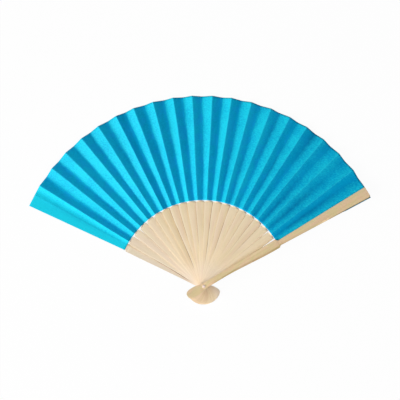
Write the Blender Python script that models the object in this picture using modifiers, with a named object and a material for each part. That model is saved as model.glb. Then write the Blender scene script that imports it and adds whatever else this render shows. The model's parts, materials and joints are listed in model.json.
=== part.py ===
# A folding bamboo hand fan with a pleated paper leaf, lying open on a table.
#
# Each stick is drawn in its own frame: the pivot axis is Z, the stick runs out along +X,
# and Z is zero at the middle of its thickness. The open fan turns the sticks about Z and
# stacks them along it, the rear guard lowest. The whole fan is then tilted a little, so
# that it stands on the points it would rest on.
import math

import bmesh
import bpy
import numpy
from mathutils import Matrix, Vector

MM = 0.001

# The open fan: the sticks stand a little wider apart near the guards than in the middle
RIB_COUNT = 19
STICK_PITCH = math.radians(6.13)
SPREAD_SWAY = math.radians(0.7)
FRONT_GUARD_AZIMUTH = math.radians(31.12)

# The sticks' outline, from the pivot outwards
HEAD_LENGTH = 17.8 * MM
HEAD_HALF_WIDTH = 4.9 * MM
NECK_HALF_WIDTH = 2.8 * MM
FLARE_START = 20 * MM
RIB_HALF_WIDTH = 4.4 * MM
SHOULDER_LENGTH = 1.8 * MM
SHOULDER_TO_LEAF = 0.4 * MM
STRIP_HALF_WIDTH = 1.5 * MM
STRIP_END_GAP = 3 * MM

# The thicknesses through the stack
RIB_THICKNESS = 0.6 * MM
RIB_GAP = 0.12 * MM
STRIP_THICKNESS = 0.25 * MM
GUARD_THICKNESS = 2.0 * MM
GUARD_PLAY = 0.35 * MM
GUARD_LEAF_RELIEF = 0.4 * MM
GUARD_FACE_STEP = 0.25 * MM

# The guards: half widths where the bare part ends, and the arm's edges as angles
FRONT_GUARD_LEFT = 3.15 * MM
FRONT_GUARD_RIGHT = 6.2 * MM
REAR_GUARD_LEFT = 2.9 * MM
REAR_GUARD_RIGHT = 5.3 * MM
GUARD_SHOULDER_PAST_LEAF = 1.2 * MM
GUARD_STEP_LENGTH = 2.5 * MM
GUARD_TIP_SETBACK = 1.5 * MM
GUARD_TIP_CORNER = 1.2 * MM
GUARD_ARM_LEFT = math.radians(0.5)
GUARD_ARM_RIGHT = math.radians(3.07)

# The leaf
LEAF_INNER_RADIUS = 85.8 * MM
LEAF_OUTER_RADIUS = 190.3 * MM
PANEL_ANGLE = math.radians(3.32)
PANEL_TILT = math.radians(22.4)
PANEL_LAG = math.radians(0.95)
PAPER_THICKNESS = 0.15 * MM
GLUE_GAP = 0.1 * MM
CREST_GAP = 0.3 * MM
FIRST_PANEL_LEFT = math.radians(1.42)
FIRST_PANEL_RIGHT = math.radians(2.22)
LAST_PANEL_RIGHT = math.radians(2.8)

# The bare blade ends, and the guards' shoulders lie, where the leaf starts
BLADE_LENGTH = LEAF_INNER_RADIUS - SHOULDER_TO_LEAF - SHOULDER_LENGTH
GUARD_SHOULDER_END = LEAF_INNER_RADIUS + GUARD_SHOULDER_PAST_LEAF

# The rivet
PIN_RADIUS = 1.0 * MM
BORE_CLEARANCE = 0.15 * MM
HEAD_GAP = 0.1 * MM
FRONT_HEAD_RADIUS = 1.6 * MM
FRONT_HEAD_HEIGHT = 0.6 * MM
REAR_HEAD_RADIUS = 1.7 * MM
REAR_HEAD_HEIGHT = 0.5 * MM
WASHER_RADIUS = 2.6 * MM
WASHER_THICKNESS = 0.5 * MM
WASHER_CLEARANCE = 0.1 * MM

# Fineness of the mesh
ROUND_STEPS = 24
BLADE_SLICES = 9
SHOULDER_SLICES = 8
ARM_SLICES = 4
LEAF_SLICES = 4
MERGE_DISTANCE = 0.00001

# The head's outline: shares of the head's length and of its half width
HEAD_OUTLINE_SHARES = [
    (-1.0, 0.16),
    (-0.975, 0.42),
    (-0.9, 0.68),
    (-0.78, 0.86),
    (-0.6, 0.98),
    (-0.42, 0.97),
    (-0.26, 0.84),
    (-0.12, 0.7),
]

# Looks and densities of the materials: display colour, roughness, metallic, kg per m3
FINISHES = {
    "bamboo": ((0.92, 0.83, 0.69), 0.55, 0.0, 700),
    "paper": ((0.03, 0.66, 0.84), 0.75, 0.0, 800),
    "metal": ((0.86, 0.83, 0.82), 0.3, 1.0, 7800),
}


def stack_height(index):
    """The height of a stick's middle above the rear guard's, counted from the rear guard."""
    if index == 0:
        return 0
    guard_to_rib = (GUARD_THICKNESS + RIB_THICKNESS) / 2 + GUARD_PLAY
    between_ribs = min(index, RIB_COUNT) - 1
    height = guard_to_rib + between_ribs * (RIB_THICKNESS + RIB_GAP)
    return height + guard_to_rib if index > RIB_COUNT else height


def stick_azimuth(index):
    """The direction of a stick of the open fan, counted from the rear guard."""
    last = RIB_COUNT + 1
    regular = FRONT_GUARD_AZIMUTH + STICK_PITCH * (last - index)
    return regular - SPREAD_SWAY * math.sin(math.tau * index / last)


def smooth_step(value):
    value = min(max(value, 0), 1)
    return value * value * (3 - 2 * value)


def make_material(name, finish):
    colour, roughness, metallic, _ = FINISHES[finish]
    material = bpy.data.materials.new(name)
    material.use_nodes = True
    shader = material.node_tree.nodes["Principled BSDF"]
    linear = [((c + 0.055) / 1.055) ** 2.4 for c in colour]
    shader.inputs["Base Color"].default_value = (*linear, 1)
    shader.inputs["Roughness"].default_value = roughness
    shader.inputs["Metallic"].default_value = metallic
    return material


def add_piece(name, mesh, finish, parent, collection):
    piece = bpy.data.objects.new(name, mesh)
    if not mesh.materials:
        mesh.materials.append(None)
    piece.material_slots[0].link = "OBJECT"
    piece.material_slots[0].material = make_material(name + "_" + finish, finish)
    piece["finish"] = finish
    piece.parent = parent
    collection.objects.link(piece)
    return piece


def place_on_stick(piece, index):
    piece.rotation_euler.z = stick_azimuth(index)
    piece.location.z = stack_height(index)


def sliced_bar(name, stations, corner):
    """A bar along X: a cube cut into slices, with each slice's corners moved into place."""
    bm = bmesh.new()
    bmesh.ops.create_cube(bm, size=1)
    long_edges = [e for e in bm.edges if abs(e.verts[0].co.x - e.verts[1].co.x) > 0.5]
    bmesh.ops.subdivide_edges(bm, edges=long_edges, cuts=len(stations) - 2)
    for vert in bm.verts:
        slice_index = round((vert.co.x + 0.5) * (len(stations) - 1))
        vert.co = corner(stations[slice_index], vert.co.y > 0, vert.co.z > 0)
    mesh = bpy.data.meshes.new(name)
    bm.to_mesh(mesh)
    bm.free()
    return mesh


def head_stations():
    return [share * HEAD_LENGTH for share, _ in HEAD_OUTLINE_SHARES]


def spaced(start, end, count):
    return [start + (end - start) * step / count for step in range(1, count + 1)]


def bare_half_width(radius, end_half_width):
    """The half width of a stick's head, neck and bare blade at a radius."""
    if radius < 0:
        places = [share * HEAD_LENGTH for share, _ in HEAD_OUTLINE_SHARES] + [0]
        widths = [share * HEAD_HALF_WIDTH for _, share in HEAD_OUTLINE_SHARES]
        return float(numpy.interp(radius, places, widths + [NECK_HALF_WIDTH]))
    flare = smooth_step((radius - FLARE_START) / (BLADE_LENGTH - FLARE_START))
    return NECK_HALF_WIDTH + (end_half_width - NECK_HALF_WIDTH) * flare


def rib_corner(radius, left, upper):
    """A corner of an inner rib: a flat blade that becomes a thin strip, twisted once narrow."""
    shoulder = smooth_step((radius - BLADE_LENGTH) / SHOULDER_LENGTH)
    half_width = bare_half_width(radius, RIB_HALF_WIDTH)
    half_width += (STRIP_HALF_WIDTH - half_width) * shoulder
    thickness = RIB_THICKNESS + (STRIP_THICKNESS - RIB_THICKNESS) * shoulder
    across = half_width if left else -half_width
    up = thickness / 2 if upper else -thickness / 2
    twist = PANEL_TILT * shoulder * shoulder
    centre = -max(radius, 0) * math.tan(PANEL_LAG) * shoulder
    y = centre + across * math.cos(twist) - up * math.sin(twist)
    z = across * math.sin(twist) + up * math.cos(twist)
    return radius, y, z


def rib_mesh():
    shoulder_end = BLADE_LENGTH + SHOULDER_LENGTH
    stations = head_stations() + [0]
    stations += spaced(0, BLADE_LENGTH, BLADE_SLICES)
    stations += spaced(BLADE_LENGTH, shoulder_end, SHOULDER_SLICES)
    stations += spaced(shoulder_end, LEAF_OUTER_RADIUS - STRIP_END_GAP, ARM_SLICES)
    return sliced_bar("rib", stations, rib_corner)


def guard_corner_maker(left_end, right_end, outward):
    """A function for a guard's corners: outward is 1 where the outer face looks along +Z."""
    tip = LEAF_OUTER_RADIUS - GUARD_TIP_SETBACK

    def half_width(radius, left):
        bare = bare_half_width(radius, left_end if left else right_end)
        arm_angle = GUARD_ARM_LEFT if left else GUARD_ARM_RIGHT
        arm = max(radius, 0) * math.tan(arm_angle)
        if radius > tip - GUARD_TIP_CORNER:
            arm -= GUARD_TIP_CORNER / 2
        step = smooth_step((radius - GUARD_SHOULDER_END + GUARD_STEP_LENGTH) / GUARD_STEP_LENGTH)
        return bare + (arm - bare) * step

    def corner(radius, left, upper):
        across = half_width(radius, left) if left else -half_width(radius, left)
        outer = (outward > 0) == upper
        height = GUARD_THICKNESS / 2
        if outer and radius > GUARD_SHOULDER_END - GUARD_STEP_LENGTH / 2:
            height -= GUARD_FACE_STEP
        if not outer and radius > BLADE_LENGTH - SHOULDER_LENGTH / 2:
            height -= GUARD_LEAF_RELIEF
        return radius, across, height if upper else -height

    return corner


def guard_mesh(name, left_end, right_end, outward):
    tip = LEAF_OUTER_RADIUS - GUARD_TIP_SETBACK
    relief_start = BLADE_LENGTH - SHOULDER_LENGTH
    stations = head_stations() + [0]
    stations += spaced(0, relief_start, BLADE_SLICES)
    stations += [BLADE_LENGTH, GUARD_SHOULDER_END - GUARD_STEP_LENGTH]
    stations += [GUARD_SHOULDER_END - GUARD_STEP_LENGTH / 2, GUARD_SHOULDER_END]
    stations += spaced(GUARD_SHOULDER_END, tip - GUARD_TIP_CORNER, ARM_SLICES) + [tip]
    return sliced_bar(name, stations, guard_corner_maker(left_end, right_end, outward))


def paper_lift():
    """How far a glued panel's middle lies above its strip's, measured along Z."""
    along_normal = STRIP_THICKNESS / 2 + GLUE_GAP + PAPER_THICKNESS / 2
    return along_normal / math.cos(PANEL_TILT)


def paper_on_guard():
    """How far a panel's middle lies from a guard's middle."""
    return GUARD_THICKNESS / 2 - GUARD_LEAF_RELIEF + GLUE_GAP + PAPER_THICKNESS / 2


def rib_fold(radius, side, index):
    """A point on the fold at one side of a rib's panel: side is 1 at its crest, -1 at its foot."""
    half = side * PANEL_ANGLE / 2
    out = radius * math.cos(half)
    across = radius * math.sin(half) * math.cos(PANEL_TILT)
    up = radius * math.sin(half) * math.sin(PANEL_TILT) + paper_lift()
    turn = Matrix.Rotation(stick_azimuth(index) - PANEL_LAG, 3, "Z")
    return turn @ Vector((out, across, up)) + Vector((0, 0, stack_height(index)))


def guard_fold(radius, angle, index, side):
    """A point on a fold that lies flat on a guard: side is 1 above it and -1 below it."""
    height = stack_height(index) + side * paper_on_guard()
    turn = Matrix.Rotation(stick_azimuth(index) + angle, 3, "Z")
    return turn @ Vector((radius, 0, height))


def left_fold(radius, index):
    """The left edge of the panel that is glued to a stick."""
    if index == 0:
        return guard_fold(radius, FIRST_PANEL_LEFT, index, 1)
    if index > RIB_COUNT:
        lag_edge = -PANEL_LAG + math.atan(math.tan(PANEL_ANGLE / 2) * math.cos(PANEL_TILT))
        return guard_fold(radius, lag_edge, index, -1)
    return rib_fold(radius, 1, index)


def right_fold(radius, index):
    """The right edge of the panel that is glued to a stick."""
    if index == 0:
        return guard_fold(radius, -FIRST_PANEL_RIGHT, index, 1)
    if index > RIB_COUNT:
        return guard_fold(radius, -LAST_PANEL_RIGHT, index, -1)
    return rib_fold(radius, -1, index)


def leaf_point(index, fold, radius):
    """A point of a gore's middle surface: fold 0 is its left edge, 1 its foot, 2 its last crest."""
    if fold == 0:
        return left_fold(radius, index)
    foot = right_fold(radius, index)
    if fold == 1:
        return foot
    next_crest = left_fold(radius, index + 1)
    rise = next_crest - foot
    return foot + rise * (1 - CREST_GAP / rise.length)


def leaf_gore_mesh(name, index):
    """A stick's own panel, and the panel that folds between it and the next stick."""
    panels = 1 if index > RIB_COUNT else 2
    bm = bmesh.new()
    bmesh.ops.create_grid(bm, x_segments=LEAF_SLICES, y_segments=panels, size=0.5)
    turn_back = Matrix.Rotation(-stick_azimuth(index), 3, "Z")
    base = Vector((0, 0, stack_height(index)))
    for vert in bm.verts:
        share = vert.co.x + 0.5
        radius = LEAF_INNER_RADIUS + (LEAF_OUTER_RADIUS - LEAF_INNER_RADIUS) * share
        fold = round((0.5 - vert.co.y) * panels)
        vert.co = turn_back @ (leaf_point(index, fold, radius) - base)
    mesh = bpy.data.meshes.new(name)
    bm.to_mesh(mesh)
    bm.free()
    return mesh


def add_paper_thickness(piece):
    solidify = piece.modifiers.new("paper", "SOLIDIFY")
    solidify.thickness = PAPER_THICKNESS
    solidify.offset = 0
    solidify.use_even_offset = True


def turned_mesh(name, profile):
    """A profile in the XZ plane, listed down its outer side, for a Screw modifier."""
    mesh = bpy.data.meshes.new(name)
    closed = profile[0] == profile[-1]
    points = profile[:-1] if closed else profile
    edges = [(i, i + 1) for i in range(len(points) - 1)]
    if closed:
        edges.append((len(points) - 1, 0))
    mesh.from_pydata([(r, 0, z) for r, z in points], edges, [])
    return mesh


def add_turning(piece):
    screw = piece.modifiers.new("turned", "SCREW")
    screw.steps = ROUND_STEPS
    screw.render_steps = ROUND_STEPS
    screw.use_merge_vertices = True
    screw.merge_threshold = MERGE_DISTANCE
    screw.use_smooth_shade = True


def rivet_pin_profile():
    """The shank with its small domed front head and the rear end turned over the washer."""
    rear_face = -GUARD_THICKNESS / 2
    front_face = stack_height(RIB_COUNT + 1) + GUARD_THICKNESS / 2
    front_seat = front_face + HEAD_GAP
    rear_seat = rear_face - HEAD_GAP - WASHER_THICKNESS - HEAD_GAP
    dome_turns = [math.radians(a) for a in (90, 60, 30, 0)]
    front = [
        (FRONT_HEAD_RADIUS * math.cos(a), front_seat + FRONT_HEAD_HEIGHT * math.sin(a))
        for a in dome_turns
    ]
    front[0] = (0, front_seat + FRONT_HEAD_HEIGHT)
    shank = [(PIN_RADIUS, front_seat), (PIN_RADIUS, rear_seat)]
    rear_bottom = rear_seat - REAR_HEAD_HEIGHT
    rear = [
        (REAR_HEAD_RADIUS, rear_seat),
        (REAR_HEAD_RADIUS, rear_seat - REAR_HEAD_HEIGHT / 2),
        (REAR_HEAD_RADIUS - REAR_HEAD_HEIGHT, rear_bottom),
        (0, rear_bottom),
    ]
    return front + shank + rear


def washer_profile():
    top = -GUARD_THICKNESS / 2 - HEAD_GAP
    bottom = top - WASHER_THICKNESS
    hole = PIN_RADIUS + WASHER_CLEARANCE
    ring = [(WASHER_RADIUS, top), (WASHER_RADIUS, bottom), (hole, bottom), (hole, top)]
    return ring + ring[:1]


def add_bore_cutter(parent, collection):
    """The drill that makes the rivet's hole through every stick."""
    length = stack_height(RIB_COUNT + 1) + 2 * GUARD_THICKNESS
    bm = bmesh.new()
    radius = PIN_RADIUS + BORE_CLEARANCE
    bmesh.ops.create_cone(
        bm, cap_ends=True, segments=ROUND_STEPS, radius1=radius, radius2=radius, depth=length
    )
    mesh = bpy.data.meshes.new("rivet_hole")
    bm.to_mesh(mesh)
    bm.free()
    cutter = bpy.data.objects.new("rivet_hole", mesh)
    cutter.location.z = stack_height(RIB_COUNT + 1) / 2
    cutter.parent = parent
    cutter.hide_render = True
    cutter.display_type = "WIRE"
    collection.objects.link(cutter)
    return cutter


def drill(piece, cutter):
    hole = piece.modifiers.new("rivet hole", "BOOLEAN")
    hole.operation = "DIFFERENCE"
    hole.solver = "EXACT"
    hole.object = cutter


def add_sticks(frame, collection, cutter):
    rear = guard_mesh("rear_guard", REAR_GUARD_LEFT, REAR_GUARD_RIGHT, -1)
    front = guard_mesh("front_guard", FRONT_GUARD_LEFT, FRONT_GUARD_RIGHT, 1)
    rib = rib_mesh()
    sticks = [add_piece("rear_guard", rear, "bamboo", frame, collection)]
    for number in range(1, RIB_COUNT + 1):
        sticks.append(add_piece(f"rib_{number:02d}", rib, "bamboo", frame, collection))
    sticks.append(add_piece("front_guard", front, "bamboo", frame, collection))
    for index, stick in enumerate(sticks):
        place_on_stick(stick, index)
        drill(stick, cutter)
    return sticks


def add_leaf(frame, collection):
    gores = []
    for index in range(RIB_COUNT + 2):
        name = f"leaf_{index:02d}"
        gore = add_piece(name, leaf_gore_mesh(name, index), "paper", frame, collection)
        add_paper_thickness(gore)
        place_on_stick(gore, index)
        gores.append(gore)
    return gores


def add_rivet(frame, collection):
    pin = add_piece(
        "rivet_pin", turned_mesh("rivet_pin", rivet_pin_profile()), "metal", frame, collection
    )
    washer = add_piece(
        "rear_washer", turned_mesh("rear_washer", washer_profile()), "metal", frame, collection
    )
    add_turning(pin)
    add_turning(washer)
    return [pin, washer]


def mass_and_moment(bm, density):
    """The mass of a closed mesh, and its mass times its centre."""
    mass = 0
    moment = Vector((0, 0, 0))
    for a, b, c in (face.verts for face in bm.faces):
        part = a.co.dot(b.co.cross(c.co)) / 6 * density
        mass += part
        moment += (a.co + b.co + c.co) / 4 * part
    return mass, moment


def fan_shape(pieces):
    """All corners of the fan, and its centre of mass, in world space."""
    depsgraph = bpy.context.evaluated_depsgraph_get()
    points = []
    mass = 0
    moment = Vector((0, 0, 0))
    for piece in pieces:
        bm = bmesh.new()
        bm.from_object(piece, depsgraph)
        bm.transform(piece.matrix_world)
        bmesh.ops.triangulate(bm, faces=bm.faces)
        part, part_moment = mass_and_moment(bm, FINISHES[piece["finish"]][3])
        mass += part
        moment += part_moment
        points += [vert.co.copy() for vert in bm.verts]
        bm.free()
    return points, moment / mass


def support_normal(points, centre):
    """The outward normal of the hull's face that the fan's weight presses on the table."""
    bm = bmesh.new()
    for point in points:
        bm.verts.new(point)
    bmesh.ops.convex_hull(bm, input=bm.verts)
    best = None
    for face in bm.faces:
        face.normal_update()
        normal = face.normal
        if normal.z > 0:
            continue
        corners = [v.co for v in face.verts]
        drop = normal.dot(corners[0] - centre)
        foot = centre + normal * drop
        turns = [
            (corners[i] - foot).cross(corners[(i + 1) % 3] - foot).dot(normal) for i in range(3)
        ]
        if min(turns) > 0 and (best is None or drop < best[0]):
            best = (drop, normal.copy())
    bm.free()
    return best[1]


def lay_on_table(frame, pieces):
    """Tilts the fan onto its support, with the middle of its bottom at the origin."""
    bpy.context.view_layer.update()
    points, centre = fan_shape(pieces)
    turn = support_normal(points, centre).rotation_difference(Vector((0, 0, -1)))
    placed = [turn @ point for point in points]
    low = [min(p[axis] for p in placed) for axis in range(3)]
    high = [max(p[axis] for p in placed) for axis in range(3)]
    frame.rotation_mode = "QUATERNION"
    frame.rotation_quaternion = turn
    frame.location = (-(low[0] + high[0]) / 2, -(low[1] + high[1]) / 2, -low[2])
    bpy.context.view_layer.update()


def clear_scene():
    for old in list(bpy.data.objects):
        bpy.data.objects.remove(old, do_unlink=True)


def new_collection(name):
    collection = bpy.data.collections.new(name)
    bpy.context.scene.collection.children.link(collection)
    return collection


def build_fan():
    clear_scene()
    parts = new_collection("bamboo_hand_fan")
    cutters = new_collection("cutters")
    frame = bpy.data.objects.new("pivot_frame", None)
    parts.objects.link(frame)
    cutter = add_bore_cutter(frame, cutters)
    pieces = add_sticks(frame, parts, cutter)
    pieces += add_leaf(frame, parts)
    pieces += add_rivet(frame, parts)
    lay_on_table(frame, pieces)


build_fan()
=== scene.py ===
# A folding hand fan with bamboo sticks and a pleated blue paper leaf, seen from above.
# Everything is drawn in millimetres in the fan's own frame, where the rivet's axis is Z and
# the sticks turn about it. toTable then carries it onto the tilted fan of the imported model.
import json
import math
import random

import bmesh
import bpy
from mathutils import Matrix, Vector
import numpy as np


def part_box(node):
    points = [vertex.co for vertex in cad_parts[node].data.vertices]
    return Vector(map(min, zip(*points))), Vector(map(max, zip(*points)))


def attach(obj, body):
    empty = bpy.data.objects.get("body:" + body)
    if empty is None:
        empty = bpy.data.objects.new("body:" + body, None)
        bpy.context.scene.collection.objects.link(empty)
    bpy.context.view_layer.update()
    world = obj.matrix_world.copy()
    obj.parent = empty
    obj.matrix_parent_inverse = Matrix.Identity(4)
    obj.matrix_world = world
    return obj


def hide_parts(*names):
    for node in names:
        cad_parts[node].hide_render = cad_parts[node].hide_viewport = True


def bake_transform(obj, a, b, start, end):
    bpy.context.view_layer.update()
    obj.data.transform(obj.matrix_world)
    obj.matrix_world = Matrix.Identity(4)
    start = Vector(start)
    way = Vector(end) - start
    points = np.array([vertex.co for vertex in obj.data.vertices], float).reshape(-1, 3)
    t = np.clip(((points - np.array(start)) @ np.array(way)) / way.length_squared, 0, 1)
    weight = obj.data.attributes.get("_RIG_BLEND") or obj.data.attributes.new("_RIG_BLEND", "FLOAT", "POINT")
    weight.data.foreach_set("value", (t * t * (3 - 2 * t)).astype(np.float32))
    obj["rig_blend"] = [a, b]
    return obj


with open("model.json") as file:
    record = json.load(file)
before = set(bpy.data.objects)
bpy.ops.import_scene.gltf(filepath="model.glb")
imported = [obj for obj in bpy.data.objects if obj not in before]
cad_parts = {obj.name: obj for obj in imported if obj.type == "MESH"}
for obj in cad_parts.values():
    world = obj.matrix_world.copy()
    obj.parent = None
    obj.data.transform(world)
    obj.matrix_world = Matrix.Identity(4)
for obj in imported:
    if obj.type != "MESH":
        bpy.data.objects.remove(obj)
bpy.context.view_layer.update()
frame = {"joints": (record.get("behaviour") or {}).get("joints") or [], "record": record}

print("stage: frame loaded")

mm = 0.001
rivet = frame["joints"][0]
rivetAxis = Vector(rivet["axis"]).normalized()
toTable = (
    Matrix.Translation(Vector(rivet["pos_m"]))
    @ Vector((0, 0, 1)).rotation_difference(rivetAxis).to_matrix().to_4x4()
    @ Matrix.Diagonal((mm, mm, mm, 1))
)

# The open fan: lengths in millimetres, angles in degrees
fan = {
    "ribs": 19,
    "pitch": 6.13,  # from stick to stick
    "sway": 0.7,  # how far the sticks stray from even spacing
    "frontAzimuth": 31.12,
    "ribThickness": 0.6,
    "ribGap": 0.12,
    "guardThickness": 2.0,
    "guardPlay": 0.35,
    "boreRadius": 1.15,
    "leafInner": 85.8,
    "leafOuter": 190.3,
    "innerRim": (-0.3, -0.9, 0.5),  # a shift outward, then how far the rim's centre is off
    "outerRim": (-0.3, -1.7, 0.3),
    "tipSetback": 1.5,
    "panelAngle": 3.32,
    "panelTilt": 22.4,
    "panelLag": (0.45, 0.95),  # the panels sit to the right of the first and the last stick
}
lastStick = fan["ribs"] + 1


def smoothStep(value):
    value = min(max(value, 0), 1)
    return value * value * (3 - 2 * value)


def fadeIn(place, start, end):
    return smoothStep((place - start) / (end - start))


def window(place, start, full, fading, end):
    return fadeIn(place, start, full) * (1 - fadeIn(place, fading, end))


def lerp(a, b, share):
    return a + (b - a) * share


def interpolate(points, place):
    if place <= points[0][0]:
        return points[0][1]
    for (x0, y0), (x1, y1) in zip(points, points[1:]):
        if place <= x1:
            return lerp(y0, y1, (place - x0) / (x1 - x0))
    return points[-1][1]


def cornerRound(past):
    # How far a round corner has drawn in, from 0 to 1 at its end
    past = min(max(past, 0), 1)
    return 1 - math.sqrt(1 - past * past)


def stackHeight(index):
    if index == 0:
        return 0
    guardToRib = (fan["guardThickness"] + fan["ribThickness"]) / 2 + fan["guardPlay"]
    height = guardToRib + (min(index, fan["ribs"]) - 1) * (fan["ribThickness"] + fan["ribGap"])
    return height + guardToRib if index == lastStick else height


def stickAzimuth(index):
    regular = fan["frontAzimuth"] + fan["pitch"] * (lastStick - index)
    return math.radians(regular - fan["sway"] * math.sin(math.tau * index / lastStick))


def stickTurn(index):
    return Matrix.Translation((0, 0, stackHeight(index))) @ Matrix.Rotation(stickAzimuth(index), 4, "Z")


def panelLag(index):
    return math.radians(lerp(*fan["panelLag"], index / lastStick))


def rimRadius(rim, azimuth):
    shift, right, up = fan[rim + "Rim"]
    whole = fan["leafInner" if rim == "inner" else "leafOuter"]
    return whole + shift + right * math.cos(azimuth) + up * math.sin(azimuth)


def addObject(name, data):
    made = bpy.data.objects.new(name, data)
    bpy.context.scene.collection.objects.link(made)
    return made


def addPiece(name, bm):
    mesh = bpy.data.meshes.new(name)
    bm.to_mesh(mesh)
    bm.free()
    return addObject(name, mesh)


def smoothShade(mesh, sharpAngle):
    mesh.shade_smooth()
    mesh.set_sharp_from_angle(angle=math.radians(sharpAngle))


# Nodes

def srgb(red, green, blue):
    def linear(level):
        level /= 255
        return level / 12.92 if level < 0.04045 else ((level + 0.055) / 1.055) ** 2.4

    return (linear(red), linear(green), linear(blue), 1)


def addNode(tree, kind, sockets=None, **settings):
    node = tree.nodes.new(kind)
    for name, value in settings.items():
        setattr(node, name, value)
    for name, value in (sockets or {}).items():
        if isinstance(value, bpy.types.NodeSocket):
            tree.links.new(value, node.inputs[name])
        else:
            node.inputs[name].default_value = value
    return node


def calculate(tree, operation, first, *others):
    for other in others:
        first = addNode(tree, "ShaderNodeMath", {0: first, 1: other}, operation=operation).outputs[0]
    return first


def addUp(tree, patterns, shares):
    parts = [calculate(tree, "MULTIPLY", patterns[name], share) for name, share in shares.items()]
    return calculate(tree, "ADD", *parts)


def ramp(tree, value, low, high, lowValue=0.0, highValue=1.0):
    node = addNode(
        tree, "ShaderNodeMapRange",
        {"Value": value, "From Min": low, "From Max": high, "To Min": lowValue, "To Max": highValue},
        interpolation_type="SMOOTHSTEP",
    )
    return node.outputs["Result"]


def mixColour(tree, share, a, b):
    return addNode(tree, "ShaderNodeMix", {0: share, 6: a, 7: b}, data_type="RGBA").outputs[2]


def noise(tree, vector, stretch, detail, rough):
    stretched = addNode(tree, "ShaderNodeVectorMath", {0: vector, 1: stretch}, operation="MULTIPLY")
    node = addNode(
        tree, "ShaderNodeTexNoise",
        {"Vector": stretched.outputs[0], "Scale": 1.0, "Detail": detail, "Roughness": rough},
    )
    return node.outputs["Fac"]


def attribute(tree, name, output="Fac"):
    return addNode(tree, "ShaderNodeAttribute", attribute_name=name).outputs[output]


def newGroup(name, inputs, outputs):
    tree = bpy.data.node_groups.new(name, "ShaderNodeTree")
    for label, kind in inputs:
        tree.interface.new_socket(label, in_out="INPUT", socket_type="NodeSocket" + kind)
    for label, kind in outputs:
        tree.interface.new_socket(label, in_out="OUTPUT", socket_type="NodeSocket" + kind)
    return tree, tree.nodes.new("NodeGroupInput").outputs, tree.nodes.new("NodeGroupOutput")


def newMaterial(name, settings):
    material = bpy.data.materials.new(name)
    material.use_nodes = True
    shader = material.node_tree.nodes["Principled BSDF"]
    for label, value in settings.items():
        shader.inputs[label].default_value = value
    return material, material.node_tree, shader


def connectSurface(tree, shader, look, colour, roughness, height):
    bump = addNode(tree, "ShaderNodeBump",
                   {"Height": height, "Strength": look["bump"], "Distance": look["grainDepth"] * mm})
    tree.links.new(colour, shader.inputs["Base Color"])
    tree.links.new(roughness, shader.inputs["Roughness"])
    tree.links.new(bump.outputs["Normal"], shader.inputs["Normal"])


# Bamboo: long fibres, soft bands and short dark pores, all running along the stick. A pattern
# has its stretch along and across the stick, its detail and its roughness. A mask has its
# start and end, in a pattern or in millimetres from an edge, and its values there.

bamboo = {
    "patterns": {
        "bands": ((0.012, 0.34, 0.34), 2.0, 0.5),
        "streaks": ((0.03, 1.6, 1.6), 3.0, 0.55),
        "threads": ((0.06, 8.0, 8.0), 2.0, 0.65),
        "pores": ((0.3, 5.0, 5.0), 1.0, 0.5),
        "blush": ((0.03, 0.16, 0.16), 1.0, 0.5),
        "moss": ((0.0408, 0.34, 0.34), 1.0, 0.5),
        "patches": ((0.09, 0.25, 0.25), 2.0, 0.6),
        "rimPatchiness": ((0.05, 0.05, 0.05), 2.0, 0.5),
        "spots": ((0.12, 0.9, 0.9), 2.0, 0.5),
    },
    "masks": {
        "bands": (0.3, 0.7, 0.0, 0.3),
        "streaks": (0.36, 0.74, 0.0, 0.26),
        "threads": (0.45, 0.8, 0.0, 0.3),
        "rosy": (0.46, 0.66, 0.0, 0.26),
        "mossy": (0.46, 0.66, 0.0, 0.22),
        "rosyPatch": (0.5, 0.6),
        "greenPatch": (0.5, 0.4),
        "pore": (0.66, 0.78, 0.0, 0.3),
        "besideStart": (0.5, 0.8, 0.0, 0.6),
        "besideEnd": (1.0, 1.9, 1.0, 0.0),
        "rim": (0.25, 0.75, 1.0, 0.0),
        "rimPatchiness": (0.3, 0.62, 0.3, 1.0),
        "strip": (0.7, 2.9, 1.0, 0.0),
        "stripBlush": (0.3, 0.7, 1.0, 0.6),
        "stripSpots": (0.35, 0.6, 0.6, 1.0),
        "tipLine": (1.7, 2.5, 1.0, 0.0),
        "roughness": (0.3, 0.8, 0.5, 0.66),
    },
    "tints": {
        "rosy": (240, 205, 184),
        "mossy": (232, 218, 164),
        "rosyPatch": (244, 198, 166),
        "greenPatch": (222, 212, 150),
        "worn": (246, 233, 218),
        "pore": (156, 116, 68),
        # the pale line beside each left rim is a painted highlight, the brown rim partly painted shade
        "beside": (255, 244, 222),
        "rim": (146, 104, 60),
        # the guards' right strip is painted shade on the side turned from the light
        "strip": (172, 142, 84),
        "tipLine": (86, 92, 70),
    },
    "depths": ("bands", "streaks", "threads"),
    "heights": {"threads": 0.6, "streaks": 0.5},
    "specular": 0.16,
}
ribLook = {
    "pale": (254, 233, 198),
    "deep": (222, 188, 138),
    "fibre": 0.5,
    "patches": 0.0,
    "rightStrip": 0.0,
    "bump": 0.6,
    "grainDepth": 0.05,
}
guardLook = {
    "pale": (250, 225, 180),
    "deep": (206, 169, 113),
    "fibre": 0.7,
    "patches": 0.34,
    "rightStrip": 0.85,
    "bump": 0.8,
    "grainDepth": 0.06,
}


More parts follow.
